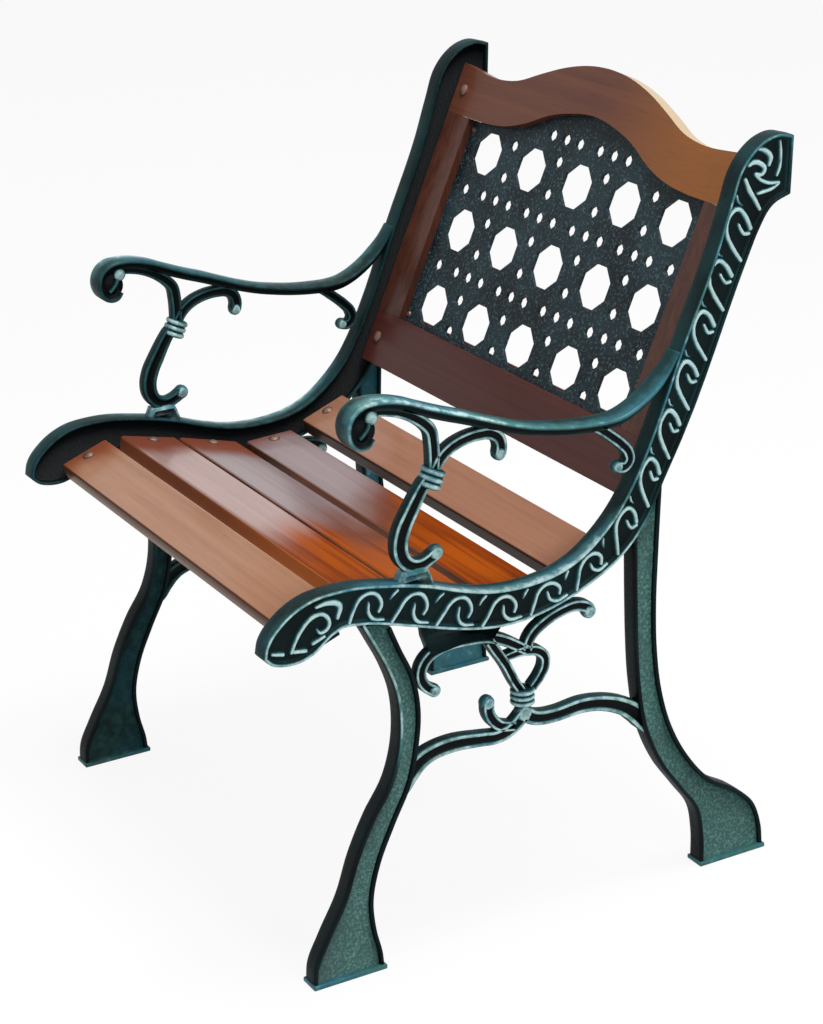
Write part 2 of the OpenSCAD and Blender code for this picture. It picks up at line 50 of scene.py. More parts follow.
# Outlines and bars of the casting in mm: y, z and, for a bar, its width. They are the solids'
# own, except where cast forms meet: the arm's rear end and the stretcher's ends run further, and
# the stem's top and the front branch are slimmer.
band_top = [
    (-301.5, 368.5), (-299, 380.5), (-281, 402.5), (-254, 417), (-218, 421), (-159, 413),
    (-123, 404), (-82, 389.5), (-54, 382), (-28, 379), (0, 379.5), (25, 383.5), (50, 393.5),
    (73, 410), (95, 432.5), (115, 463), (131, 495), (170, 589), (210.5, 682), (225, 724),
    (239, 760), (251, 774), (266, 784), (284, 788), (301.5, 784)]
band_low = [
    (-301.5, 368.5), (-293, 360.5), (-281, 356.5), (-263, 356.2), (-248, 361.5), (-227, 376.5),
    (-216, 380.5), (-200, 379.5), (-142, 364), (-91, 348.5), (-65, 342.5), (-40, 339.5),
    (-14, 340), (10, 343.5), (36, 350.5), (57, 358.5), (77, 368), (97, 380), (116, 397),
    (130, 414.5), (152, 456), (173, 495), (251, 673), (260.5, 693), (278, 717), (299, 725)]
band_mid = [
    (-262, 383.7, 48), (-240, 395.5, 47), (-215.6, 401, 41), (-186, 397.8, 40.5),
    (-142, 386.5, 43), (-99.5, 373, 42.5), (-55, 361.5, 41), (-10.6, 359.6, 38), (18, 363.8, 36),
    (47, 373, 34.5), (74, 387.3, 36.7), (97.3, 405.8, 39), (116.2, 428.6, 38.5),
    (130.7, 454, 36.5), (159.3, 510.6, 38.8), (204, 618, 40.4), (239.5, 702, 47), (262, 738, 58)]
front_leg = (
    [(-197, 378), (-185, 354.5), (-172.2, 328.6), (-161.2, 295), (-158.7, 266), (-161.2, 237),
     (-171.2, 204), (-193.1, 169.5), (-212.2, 131), (-227.2, 89.4), (-249, 49.6), (-262, 22),
     (-264, 0)],
    [(-166, 374), (-154, 344), (-141, 314), (-134.3, 275), (-137.8, 235), (-146.9, 197.5),
     (-166.9, 157.5), (-184.8, 117.6), (-193.4, 80), (-191, 45), (-185, 18), (-183.5, 0)])
rear_leg = (
    [(115, 398), (116, 330), (117, 290), (121, 232), (130, 183), (151, 135), (177, 98), (197, 69),
     (203.5, 36), (204, 0)],
    [(149, 452), (145.5, 380), (143.5, 320), (144.5, 278), (151.5, 222.3), (164.4, 178.6),
     (185.2, 138.8), (217, 101), (250, 80), (273, 58), (284, 28), (286.5, 0)])
arm_bar = [
    (-179.5, 565, 8), (-184.5, 559.3, 9), (-191.5, 558.3, 9), (-198, 562.5, 9.2),
    (-201.2, 570, 9.3), (-200.8, 579.5, 9.5), (-196, 588, 10.2), (-187.5, 593, 11.5),
    (-175, 594, 12.3), (-161.5, 592.7, 12.5), (-142, 587.6, 12.5), (-122.4, 579.5, 12.5),
    (-98, 569.9, 12.4), (-73.2, 561.1, 12.4), (-50, 551.9, 12.2), (-30, 544.6, 11.8),
    (-6.6, 537.3, 11.5), (15.7, 532.3, 11.7), (39.2, 528.2, 12), (65.6, 525.6, 12.6),
    (85, 524.9, 12.8), (101, 526.8, 12.4), (113.6, 531.3, 12), (124.5, 537, 11.5),
    (136.5, 545, 11), (149, 556, 10.3), (162, 570.5, 9.5), (170.5, 583, 9)]
bars = dict(
    stem=[
        (-114.5, 513, 9), (-121.5, 504.5, 13.6), (-137.5, 479, 16.5), (-146, 463, 17.5),
        (-149.5, 450, 17.5), (-148.5, 438, 17), (-141.5, 427.5, 15.5), (-129.5, 423.5, 13.5),
        (-118.5, 427, 12.5), (-110, 432, 13)],
    front_branch=[
        (-111.5, 512, 11.5), (-110.5, 530, 12.5), (-111, 545, 13), (-113.4, 557.5, 12.6),
        (-120, 565.5, 12.5), (-127, 571, 12), (-139, 578.3, 11), (-149, 582.3, 10), (-160, 585, 9),
        (-171, 586.3, 8.5), (-180, 585, 8)],
    rear_branch=[
        (-112, 514, 11), (-100, 530, 12), (-89.5, 536.8, 12), (-77, 541, 12), (-61, 542.8, 12),
        (-47, 541.2, 12.5), (-38.5, 535, 13), (-35.8, 526, 13), (-37, 518, 13)],
    rear_curl=[
        (72, 524, 10), (81, 518.5, 11), (92, 510, 11.5), (103.5, 500, 11.5), (111.3, 490.5, 11.5),
        (112.8, 481.5, 11.5), (107, 475.5, 11.5), (99.5, 476.5, 12)],
    seat_curl=[
        (-115, 287, 12), (-125, 294.5, 12), (-130, 303, 12), (-130, 313, 12), (-122.5, 324.5, 12),
        (-110, 330.5, 12), (-74, 332.5, 12), (-55, 330, 12), (-38.5, 323.5, 12), (-9, 305, 11)],
    seat_branch=[
        (-9, 305, 11), (-6.5, 314, 11.5), (0, 322.5, 12), (9, 328.5, 12), (35, 338, 12),
        (47, 339.5, 12), (57, 337.5, 12.5), (64, 333.5, 12.5), (67, 327.5, 12.5)],
    heart_front=[
        (-16, 262, 10), (-23, 273.5, 10), (-33.5, 295, 10.5), (-47, 316.5, 11), (-52, 325, 11)],
    heart_rear=[
        (-3, 262, 10), (6.5, 272.5, 10.5), (12, 283, 11), (12, 292.5, 11), (5.5, 300, 11),
        (-10, 304.5, 11), (-34, 303, 8)],
    stretcher_front=[
        (-163, 180, 12), (-154, 193, 20), (-145, 206, 22), (-129, 218, 19), (-117, 222, 18),
        (-100, 224, 17.5), (-62, 220.5, 15.5), (-46, 218.5, 15), (-34, 220.5, 15.5),
        (-22, 227, 16), (-12, 236, 17)],
    stretcher_rear=[
        (-12, 236, 17), (-3, 229.5, 16), (9, 226, 16), (23, 225, 16), (57, 227, 17),
        (76, 224.5, 17), (92.5, 219.5, 18), (107, 212.5, 19), (121, 202, 22), (131, 190, 20),
        (140, 176, 12)],
    post_curl=[
        (-24, 225, 10), (-32, 227, 11), (-41, 230, 12), (-49, 237.5, 12.5), (-54, 247.5, 12.5),
        (-54.5, 257, 13)])

# The plate in the front curl under the seat, and the pad under the stem
gusset = [(-119, 326), (-126, 346), (-128, 364), (-60, 350), (-36, 343), (-48, 328), (-80, 331)]
pad = [(-157, 408), (-152, 414), (-149, 421), (-121, 421), (-118, 414), (-113, 399)]

# Balls that end the scrolls: y, z and radius
balls = [(-109.6, 432.2, 8), (-37, 518, 7), (99.5, 476.5, 6.6), (-115, 287, 7), (66, 328.5, 7.8),
         (-54.5, 258, 7.8), (-12.3, 236.5, 10)]

# Collars of the stem and of the heart's post: y, z, lean in degrees and length
collars = [(-112, 508.7, -24, 20), (-12.3, 254.5, 0, 18)]

# Front and rear end of each sole
soles = [(-265, -182), (202.5, 288)]

# Front and rear edge of each slat's upper side, as y, z, y, z
slat_tops = [(-264.5, 378, -210, 398), (-191, 398.2, -124.5, 382.8), (-119.5, 381.8, -47.5, 362.3),
             (-35.5, 360, 24, 362.6), (37.5, 371.5, 93, 393)]

# Lugs as two opposite corners, about the middle of a slat's upper side and of the back frame
slat_lug, slat_lug_root = ((-37, -15, -24.2), (0, 15, -20.2)), ((-11, -15, -24.2), (-1, 15, -10))
back_lugs = [((-43, 134, -12.2), (0, 168, -8.2)), ((-43, -168, -12.2), (0, -134, -8.2))]

# One running wave as shares of the pitch and of the height, with its width: first as it is on
# the seat, then as it is up the back
WAVES, WAVE_START, WAVE_PITCH = 13, 55.6, 51.7
seat_wave = [
    [(0, -0.05, 3.6), (0.12, 0.38, 4), (0.2, 0.66, 4.2), (0.32, 0.83, 4.6), (0.5, 0.87, 5),
     (0.64, 0.71, 4.8), (0.7, 0.46, 4.2), (0.66, 0.28, 3.4)],
    [(0.42, 0.56, 3), (0.44, 0.26, 4.2), (0.55, 0.06, 4.6), (0.8, 0.04, 3.4)],
    [(0.98, 0.95, 3.4), (0.91, 0.82, 3.4), (0.87, 0.66, 2.4)]]
back_wave = [
    [(0.03, 0.05, 4.4), (0.16, 0.36, 5), (0.27, 0.6, 5.2), (0.46, 0.88, 5), (0.7, 0.96, 4.6),
     (0.9, 0.8, 5.4), (0.86, 0.5, 5.6), (0.7, 0.18, 6)],
    [(0.66, 0.58, 3.4), (0.59, 0.45, 4), (0.54, 0.3, 4.4), (0.58, 0.16, 4.6)],
    [(1.1, 0.97, 3), (1.02, 0.86, 3), (1.0, 0.7, 2.2)]]

# Leaves in the nose, then in the tip of the back: y, z and width
leaf_lines = [
    [(-272, 369, 3.4), (-268, 378, 4), (-260, 390, 4.4), (-253, 397, 4.8), (-246, 400.5, 5),
     (-238, 400.5, 5), (-232, 395, 4.8), (-231, 388, 4.4), (-235, 383, 4), (-242, 382.5, 3.6),
     (-244, 386, 3)],
    [(-244, 409, 3.6), (-231, 410.5, 6.4), (-219, 405, 7), (-222, 393, 4.4)],
    [(-292, 372, 3.6), (-281, 369.5, 4.6)],
    [(-269, 369, 4.2), (-257, 367.5, 4.6)],
    [(-249, 373, 4.2), (-237, 377.5, 4.4)],
    [(285, 780, 3), (286, 767, 3.8), (285, 754, 3.8), (282, 746, 3)],
    [(248, 761, 4.6), (253, 763, 5.6), (262, 760.5, 5.8), (267, 755, 5.4), (264, 750, 5),
     (256, 751, 4)],
    [(259, 776, 4.4), (267, 773, 6.4), (274, 765, 6.4), (272, 758, 4)],
    [(285, 738, 3), (277, 734, 4.2), (266, 732, 4.4), (259, 731, 3.4)],
    [(256, 750, 3.4), (263, 744, 4.2), (272, 740, 4.2), (285, 739, 3)],
    [(244, 747, 4.4), (249, 736, 5.6), (256, 725, 5.6), (262, 715, 4)]]


def unit(v):
    return v / (np.linalg.norm(v) or 1.0)


def heading(p, i):
    """The curve's direction at its point i, nearer to that of the shorter span."""
    if i == 0:
        return unit(p[1, :2] - p[0, :2])
    if i == len(p) - 1:
        return unit(p[i, :2] - p[i - 1, :2])
    a, b = p[i, :2] - p[i - 1, :2], p[i + 1, :2] - p[i, :2]
    return unit(unit(a) * np.linalg.norm(b) + unit(b) * np.linalg.norm(a))


def curve(points, n):
    """The smooth curve through the points, as the solids have it, n steps a span."""
    p = np.array(points, float)
    out = []
    for i in range(len(p) - 1):
        a, b, span = p[i], p[i + 1], np.linalg.norm(p[i + 1, :2] - p[i, :2])
        for t in np.arange(n) / n:
            q = a * (1 - t) + b * t
            s = t * t * (3 - 2 * t)
            q[:2] = (a[:2] * (1 - s) + b[:2] * s
                     + heading(p, i) * span * (t**3 - 2 * t * t + t)
                     + heading(p, i + 1) * span * (t**3 - t * t))
            out.append(q)
    out.append(p[-1])
    return np.array(out)


def clockwise(points):
    """The points as a closed loop, turned so that its left side is its outside."""
    loop = np.array(points, float)
    y, z = loop[:, 0], loop[:, 1]
    area = np.sum(y * np.roll(z, -1) - np.roll(y, -1) * z)
    return loop[::-1] if area > 0 else loop


def region(a, b):
    """The closed outline between two lines of points, without doubled points."""
    loop = np.vstack([curve(a, STEPS), curve(b, STEPS)[::-1]])
    keep = np.linalg.norm(loop - np.roll(loop, 1, axis=0), axis=1) > 0.05
    return clockwise(loop[keep])


def normals(path, closed):
    """Left-hand normals of a path, lengthened at corners so that offsets stay true."""
    if closed:
        prev, nxt = path - np.roll(path, 1, axis=0), np.roll(path, -1, axis=0) - path
    else:
        d = np.diff(path, axis=0)
        prev, nxt = np.vstack([d[:1], d]), np.vstack([d, d[-1:]])
    prev = prev / np.linalg.norm(prev, axis=1)[:, None]
    nxt = nxt / np.linalg.norm(nxt, axis=1)[:, None]
    t = prev + nxt
    t = t / np.maximum(np.linalg.norm(t, axis=1), 1e-6)[:, None]
    n = np.c_[-t[:, 1], t[:, 0]]
    stretch = 1 / np.clip(np.sum(n * np.c_[-nxt[:, 1], nxt[:, 0]], axis=1), 0.6, 1)
    return n * stretch[:, None]


def shrunk(loop, by):
    """The closed loop moved inwards by that much."""
    return loop - normals(loop, True) * by


def crossings(loop, z):
    """The y values at which the closed loop crosses that height."""
    a, b = loop, np.roll(loop, -1, axis=0)
    hit = (a[:, 1] > z) != (b[:, 1] > z)
    a, b = a[hit], b[hit]
    return a[:, 0] + (z - a[:, 1]) / (b[:, 1] - a[:, 1]) * (b[:, 0] - a[:, 0])


def deep_inside(loop, p, depth):
    """True where the point lies inside the closed loop by more than depth."""
    d = np.roll(loop, -1, axis=0) - loop
    t = np.clip(((p - loop) * d).sum(1) / (d * d).sum(1), 0, 1)
    odd = (crossings(loop, p[1]) > p[0]).sum() % 2
    return bool(odd) and np.min(np.linalg.norm(p - loop - d * t[:, None], axis=1)) > depth


def along_x(y, z):
    """Where a lathe's axis runs along x through that y and z."""
    return Matrix.Translation((0, y, z)) @ Matrix.Rotation(math.pi / 2, 4, "Y")


def tilted(y, z, angle):
    """A place at that y and z, turned about x."""
    return Matrix.Translation((0, y, z)) @ Matrix.Rotation(angle, 4, "X")


class Casting:
    """Gathers the vertices and faces of one cast piece, in mm about x = 0.

    Each vertex has its high, which says how light its paint is and so carries painted light and
    shade: below 0 painted shade in a hollow, about 0 on a plain face, 1 on an edge with brushed
    paint and a painted highlight, and 2 on the sunk face of a leg.
    """

    def __init__(self):
        self.v, self.f, self.high = [], [], []
        self.count = 0

    def add(self, verts, faces, high):
        verts = np.asarray(verts, float)
        self.v.append(verts)
        self.high.append(np.broadcast_to(np.asarray(high, float), (len(verts),)))
        self.f += [tuple(int(k) + self.count for k in f) for f in faces]
        self.count += len(verts)

    def sweep(self, path, section, closed=False, others=()):
        """Carries a closed section of (outward, x, high) along a y-z path.

        A third column in the path is a width, and outward is then in halves of it.
        Each of the others is a section with its share at every point of the path.
        """
        n = normals(path[:, :2], closed)
        k, m = len(path), len(section)
        sec = np.broadcast_to(np.array(section, float), (k, m, 3))
        for other, share in others:
            sec = sec + (np.array(other, float) - sec) * np.asarray(share)[:, None, None]
        half = path[:, 2, None] / 2 if path.shape[1] > 2 else 1.0
        pos = path[:, None, :2] + n[:, None, :] * (sec[..., 0] * half)[..., None]
        verts = np.dstack([sec[..., 1], pos[..., 0], pos[..., 1]]).reshape(-1, 3)
        faces = []
        for i in range(k if closed else k - 1):
            j = (i + 1) % k
            for s in range(m):
                r = (s + 1) % m
                faces.append((i * m + s, i * m + r, j * m + r, j * m + s))
        if not closed:
            faces += [tuple(range(m))[::-1], tuple((k - 1) * m + s for s in range(m))]
        self.add(verts, faces, sec[..., 2].reshape(-1))

    def slab(self, loop, half, bevel=0.0, high=0.0):
        """A plate of that y-z outline, half thick each side of x = 0."""
        inner = shrunk(loop, bevel)
        rings = [(inner, -half), (loop, -half + bevel), (loop, half - bevel), (inner, half)]
        k = len(loop)
        verts = np.vstack([np.c_[np.full(k, x), r] for r, x in rings])
        faces = []
        for q in range(3):
            for i in range(k):
                j = (i + 1) % k
                faces.append((q * k + i, q * k + j, (q + 1) * k + j, (q + 1) * k + i))
        tris = tessellate_polygon([[Vector((0, p[0], p[1])) for p in inner]])
        faces += [tuple(t) for t in tris] + [tuple(3 * k + s for s in t[::-1]) for t in tris]
        self.add(verts, faces, high)

    def lathe(self, profile, at, high):
        """A solid of revolution: profile of (distance along the axis, radius)."""
        m = len(profile)
        verts, faces = [], []
        for a in np.arange(LATHE_STEPS) * 2 * math.pi / LATHE_STEPS:
            for h, r in profile:
                verts.append(at @ Vector((r * math.cos(a), r * math.sin(a), h)))
        for i in range(LATHE_STEPS):
            j = (i + 1) % LATHE_STEPS
            for s in range(m - 1):
                faces.append((i * m + s, j * m + s, j * m + s + 1, i * m + s + 1))
        self.add([tuple(v) for v in verts], faces,
                 np.tile(high, LATHE_STEPS) if np.ndim(high) else high)

    def box(self, lo, hi, bevel, high, at=Matrix()):
        """A block between two corners, its edges rounded."""
        bm = bmesh.new()
        bmesh.ops.create_cube(bm, size=1)
        lo, hi = Vector(lo), Vector(hi)
        for v in bm.verts:
            v.co = Vector(((lo[k] + hi[k]) / 2 + v.co[k] * (hi[k] - lo[k]) for k in range(3)))
        bmesh.ops.bevel(bm, geom=bm.edges[:], offset=bevel, segments=3, affect="EDGES",
                        profile=0.5)
        bm.verts.index_update()
        self.add([tuple(at @ v.co) for v in bm.verts],
                 [tuple(v.index for v in f.verts) for f in bm.faces], high)
        bm.free()

    def relief(self, loop, ridges, pitch, floor, top, rim):
        """The sunk face inside a rim as a fine sheet, raised where the ridges run.

        Ridges are lines of y, z and width, floor and top the x of the sheet and of the ridges'
        crowns, and rim how wide the rim is inside the loop.
        """
        spread = 0.58                       # a ridge's half width at its foot, of its width
        reach = 6                           # further out than any ridge's foot
        cove, cove_top = 2.5, 0.35          # the hollow rise to the rim: width and height
        # Painted highlight on the ridges' crowns and painted shade on the field between them:
        contrast, floor_high = 1.4, -0.22   # how a point's height becomes its high
        y0, z0 = loop.min(axis=0) - 2
        y1, z1 = loop.max(axis=0) + 2
        ys, zs = np.arange(y0, y1, pitch), np.arange(z0, z1, pitch)
        inside = np.array([np.searchsorted(np.sort(crossings(loop, z)), ys) % 2 == 1 for z in zs])

        def near(p, q, reach):
            """The cells about the line p to q, with their distance from it and place along it."""
            i0, i1 = np.searchsorted(ys, [min(p[0], q[0]) - reach, max(p[0], q[0]) + reach])
            j0, j1 = np.searchsorted(zs, [min(p[1], q[1]) - reach, max(p[1], q[1]) + reach])
            yy, zz = np.meshgrid(ys[i0:i1], zs[j0:j1])
            d = q[:2] - p[:2]
            t = np.clip(((yy - p[0]) * d[0] + (zz - p[1]) * d[1]) / max(d @ d, 1e-9), 0, 1)
            away = np.hypot(yy - p[0] - t * d[0], zz - p[1] - t * d[1])
            return (slice(j0, j1), slice(i0, i1)), away, t

        edge = np.full(inside.shape, 99.0)
        for p, q in zip(loop, np.roll(loop, -1, axis=0)):
            cells, away, _ = near(p, q, rim + cove + 1)
            edge[cells] = np.minimum(edge[cells], away)
        height = np.clip(1 - (edge - rim) / cove, 0, 1) ** 2 * cove_top
        for ridge in ridges:
            for p, q in zip(ridge[:-1], ridge[1:]):
                cells, away, t = near(p, q, reach)
                r = (p[2] * (1 - t) + q[2] * t) * spread
                crown = np.sqrt(np.clip(1 - (away / r) ** 2, 0, 1)) * np.minimum(r / 2, 1)
                height[cells] = np.maximum(height[cells], crown)

        use = inside & (edge > rim - cove)
        index = -np.ones(inside.shape, int)
        index[use] = np.arange(use.sum())
        yy, zz = np.meshgrid(ys, zs)
        verts = np.c_[floor + height[use] * (top - floor), yy[use], zz[use]]
        quads = [index[:-1, :-1], index[:-1, 1:], index[1:, 1:], index[1:, :-1]]
        quads = np.stack(quads, axis=-1)
        quads = quads[(quads >= 0).all(axis=-1)]
        self.add(verts, quads.tolist(), height[use] * contrast + floor_high)

    def build(self, name, mat, flip):
        """The piece at the chair's right end, or mirrored at its left end with flip."""
        v = (np.vstack(self.v) + (MID, 0, 0)) * MM
        v[:, 2] = np.maximum(v[:, 2], 0)
        faces = self.f
        if flip:
            v = v * (-1, 1, 1)
            faces = [f[::-1] for f in faces]
        mesh = bpy.data.meshes.new(name)
        mesh.from_pydata(v.tolist(), [], faces)
        high = mesh.attributes.new("high", "FLOAT", "POINT")
        high.data.foreach_set("value", np.concatenate(self.high))
        mesh.materials.append(mat)
        mesh.update()
        mesh.polygons.foreach_set("use_smooth", np.ones(len(mesh.polygons), bool))
        obj = bpy.data.objects.new(name, mesh)
        bpy.context.scene.collection.objects.link(obj)
        return obj


def both_sides(side, back=0.5):
    """The side at +x and its mirror at -x, whose lighter paint is scaled by back as painted shade.
    """
    return side[::-1] + [(o, -x, h if h < 0 else h * back) for o, x, h in side]


def rim_section(edge, face, half, wide, floor):
    """Section of the flange round a sunk field: crowned edge, square inner sides.

    edge and face are the high of the two, half is half the flange's thickness, wide its width,
    and floor the x of the field beside it.
    """
    # The crowned edge takes a painted highlight, the foot of the inner sides painted shade at
    # -0.4, and the -x side is darkened by 0.35 as painted shade.
    return both_sides([
        (0, half * 0.4, edge * 0.8), (-0.25, half - 1.6, edge), (-1.1, half, face),
        (-wide + 1.4, half, face), (-wide + 0.6, half - 0.5, face * 0.6),
        (-wide, floor + 0.6, -0.4), (-wide - 0.5, floor - 0.6, -0.4)], 0.35)


def band_rim(edge, face):
    return rim_section(edge, face, half=11, wide=4.0, floor=6.5)


def leg_rim(edge, face):
    return rim_section(edge, face, half=10.5, wide=4.6, floor=6)


# Sections as outward, x and high: a scroll's bar with its groove, the arm in its length, at the
# roll's crown, towards the rear and at the rear end, the roll, and the bead round the roll's eye
# The high in these sections paints highlights on crowns and edges and shade on the sides, in the
# grooves and in the roll.
bar_side = [
    (1, 4.6, 0.3), (0.84, 6, 1.0), (0.54, 6, 0.9), (0.4, 4.2, -0.5), (-0.4, 4.2, -0.5),
    (-0.54, 6, 0.8), (-0.84, 6, 1.0), (-1, 4.6, 0.1)]
arm_side = [
    (1, 5, 0.68), (0.97, 10, 0.8), (0.84, 12.8, 1.0), (0.55, 14, 0.8), (0.3, 13.6, 0.1),
    (0.2, 11, -0.5), (0.15, 6.4, -0.6), (-0.3, 6, -0.4), (-0.8, 6, 0.0), (-0.96, 5, 0.5),
    (-1, 3, 0.3)]
crown_side = [(o, x, 0.86 if o > 0.8 else h) for o, x, h in arm_side]
rear_side = [(o, x, h if h < 0 else h * 0.68) for o, x, h in arm_side]
end_side = [(o, min(x, 10.4), h if h < 0 else h * 0.5) for o, x, h in arm_side]
roll_side = [
    (1, 5, 0.42), (0.97, 10, 0.55), (0.84, 12.8, 0.82), (0.55, 14, 0.78), (0.3, 13.8, 0.5),
    (0.1, 12.6, 0.1), (-0.1, 11.2, -0.35), (-0.4, 10.4, -0.5), (-0.8, 10, -0.5),
    (-0.95, 9.8, -0.5), (-1, 8, -0.5)]
bead_side = [
    (1, 9, -0.3), (0.85, 10.6, 0.1), (0.45, 11.6, 0.45), (0, 12, 0.55), (-0.45, 11.6, 0.45),
    (-0.85, 10.6, 0.1), (-1, 9, -0.3)]
bead_line = [
    (-182, 580, 6), (-183.6, 575, 5.6), (-186.8, 571, 5.2), (-190, 567.6, 5.2),
    (-192.6, 566, 5.2)]

# Turned forms as (along the axis, radius): the disc that fills the roll and the boss at its eye,
# then a ball in shares of its half length and radius
# The boss and the balls are painted light on their ends along x as highlight and dark round their
# sides as shade.
disc_profile = [(-9.5, 0), (-9.5, 14), (9.5, 14), (9.5, 0)]
boss_profile = [
    (-12.4, 0), (-12, 3.4), (-10.8, 6), (-8.6, 7.6), (8.6, 7.6), (10.8, 6), (12, 3.4), (12.4, 0)]
boss_high = [0.95, 0.95, 0.85, 0.1, 0.1, 0.85, 0.95, 0.95]
ball_profile = [
    (-1, 0), (-1, 0.35), (-0.92, 0.62), (-0.55, 0.92), (0, 1), (0.55, 0.92), (0.92, 0.62),
    (1, 0.35), (1, 0)]
ball_high = [0.9, 0.9, 1, 0.6, 0.3, 0.6, 1, 0.9, 0.9]


def wave_ridges(mid):
    """The running wave as lines of y, z and width, on the band's middle line."""
    step = np.linalg.norm(np.diff(mid[:, :2], axis=0), axis=1)
    run = np.concatenate([[0], np.cumsum(step)])
    rims = 9                                # of the band's height, which the waves leave free

    def place(d, v):
        """The point that far along the middle line, v of the way up between the rims."""
        i = min(int(np.searchsorted(run, d, side="right")) - 1, len(step) - 1)
        t = (d - run[i]) / step[i]
        h = unit(mid[i + 1, :2] - mid[i, :2])
        q = mid[i] * (1 - t) + mid[i + 1] * t
        return q[:2] + (v - 0.5) * (q[2] - rims) * np.array([-h[1], h[0]])

    out = []
    for i in range(WAVES):
        back = min(max((i - 4.5) / 2, 0), 1)
        for a, b in zip(seat_wave, back_wave):
            line = np.array(a) * (1 - back) + np.array(b) * back
            points = [np.r_[place(WAVE_START + (i + u) * WAVE_PITCH, v), w] for u, v, w in line]
            out.append(curve(points, ORNAMENT_STEPS))
    return out


def ramp(values, start, length):
    """0 up to start and 1 from start + length on, for a negative length the other way."""
    return np.clip((values - start) / length, 0, 1)


def add_band(c):
    """The S-shaped band: its web, its rims and its ornament. Gives back its outline."""
    band = region(band_top, band_low)
    # The web is painted near black, as shade inside the band.
    c.slab(shrunk(band, 2), half=5.5, high=-0.4)
    low = curve(band_low, STEPS)
    underside = np.array([np.min(np.hypot(*(low - q).T)) < 0.3 for q in band])
    # The rim's edge carries a painted highlight, strongest along the seat, weaker at the nose and
    # up the back, and edge and face are painted dark as shade on the back's rear side
    nose, up_back = ramp(band[:, 0], -185, -30), ramp(band[:, 1], 400, 50)
    c.sweep(band, band_rim(0.95, 1.0), closed=True, others=[
        (band_rim(0.4, 1.0), nose),
        (band_rim(0.1, 0.75), up_back),
        (band_rim(-0.3, -0.1), up_back * underside)])
    leaves = [curve(line, ORNAMENT_STEPS) for line in leaf_lines]
    c.relief(band, wave_ridges(curve(band_mid, ORNAMENT_STEPS)) + leaves,
             pitch=0.8, floor=6.5, top=10.7, rim=4.2)
    return band


def add_leg(c, band, front_edge, rear_edge, inner_high, front_highlight):
    """A leg: its web, and a rim down each edge from where the edge leaves the band.

    inner_high is for the web's inner side, painted darker than the outer side's 2 as shade. The
    last argument paints a highlight on the upper part of the front rim.
    """
    loop = region(front_edge, rear_edge)
    c.slab(shrunk(loop, 1.5), half=6.3,
           high=np.repeat([inner_high, inner_high, 2.0, 2.0], len(loop)))
    for line, is_front in ((front_edge, True), (rear_edge, False)):
        path = curve(line, STEPS)
        first = next(k for k, q in enumerate(path) if not deep_inside(band, q, 1.5))
        path = path[first:]
        # The rims are painted dark as shade, the upper part of the front rim light as a painted
        # highlight
        light = ramp(path[:, 1], 190, 60) * (front_highlight and is_front)
        if is_front:
            path, light = path[::-1], light[::-1]
        c.sweep(path, leg_rim(-0.3, -0.2), others=[(leg_rim(-0.3, 0.9), light)])


def add_arm(c):
    """The arm and the roll at its front end, with the roll's eye."""
    arm = curve(arm_bar, STEPS)
    y, z, step = arm[:, 0], arm[:, 1], np.arange(len(arm))
    # The roll's section up to the tenth point, a painted highlight on the crown over the roll,
    # painted shade towards the rear, and a narrow end in painted shade
    c.sweep(arm, both_sides(arm_side), others=[
        (both_sides(roll_side), ramp(step, 10 * STEPS, -2 * STEPS)),
        (both_sides(crown_side), np.exp(-((y + 165) / 32) ** 2) * (z > 580)),
        (both_sides(rear_side), ramp(y, -60, 90)),
        (both_sides(end_side), ramp(step, len(arm) - 14, 8))])
    # The disc inside the roll is painted dark as shade.
    c.lathe(disc_profile, along_x(-189.5, 572.5), high=-0.6)
    c.lathe(boss_profile, along_x(-179, 584), boss_high)
    bead = curve(bead_line, STEPS)
    for side in (1, -1):
        c.sweep(bead, [(o, x * side, h) for o, x, h in bead_side[::-side]])


def add_ball(c, y, z, radius):
    """A ball at a scroll's end, no more than 14 mm long along x."""
    half = min(radius, 7)
    c.lathe([(half * a, radius * r) for a, r in ball_profile], along_x(y, z), ball_high)


def add_collar(c, y, z, lean, length):
    """Three beads in a row round a bar, each with a painted highlight at its crown and painted
    shade between them.
    """
    foot, crown, end = 9, 3.8, length / 2 + 0.4
    profile, high = [(-end, 0)], [-0.4]
    for k in (-1, 0, 1):
        for degrees in range(-80, 81, 20):
            a = math.radians(degrees)
            profile.append((k * length / 3 + length / 6 * math.sin(a),
                            foot + crown * math.cos(a)))
            high.append(math.cos(a) ** 0.7 * 1.5 - 0.5)
    c.lathe(profile + [(end, 0)], tilted(y, z, math.radians(lean)), high + [-0.4])


def add_lugs(c):
    """The lugs under each slat's end and behind the back frame's corners."""
    for y0, z0, y1, z1 in slat_tops:
        at = tilted((y0 + y1) / 2, (z0 + z1) / 2, math.atan2(z1 - z0, y1 - y0))
        for lo, hi in (slat_lug, slat_lug_root):
            c.box(lo, hi, bevel=0.8, high=-0.2, at=at)
    for lo, hi in back_lugs:
        c.box(lo, hi, bevel=0.8, high=-0.2, at=tilted(BACK_Y, BACK_Z, math.pi / 2 - LEAN))


def make_casting(name, mat, flip):
    """One cast end of the chair, in place of its solid."""
    c = Casting()
    band = add_band(c)
    add_leg(c, band, *front_leg, inner_high=0.4, front_highlight=True)
    add_leg(c, band, *rear_leg, inner_high=0.62, front_highlight=False)
    add_arm(c)
    for line in bars.values():
        c.sweep(curve(line, STEPS), both_sides(bar_side))
    for ball in balls:
        add_ball(c, *ball)
    for collar in collars:
        add_collar(c, *collar)
    c.slab(clockwise(gusset), half=6.5, bevel=0.5, high=-0.1)
    # The pad is painted light as a highlight.
    c.slab(clockwise(pad), half=9, bevel=3.6, high=0.85)
    # The soles are painted light as a highlight along their edge.
    for y0, y1 in soles:
        c.box((-12.5, y0, 0), (12.5, y1, 5), bevel=1.2, high=0.66)
    add_lugs(c)
    return c.build(name, mat, flip)


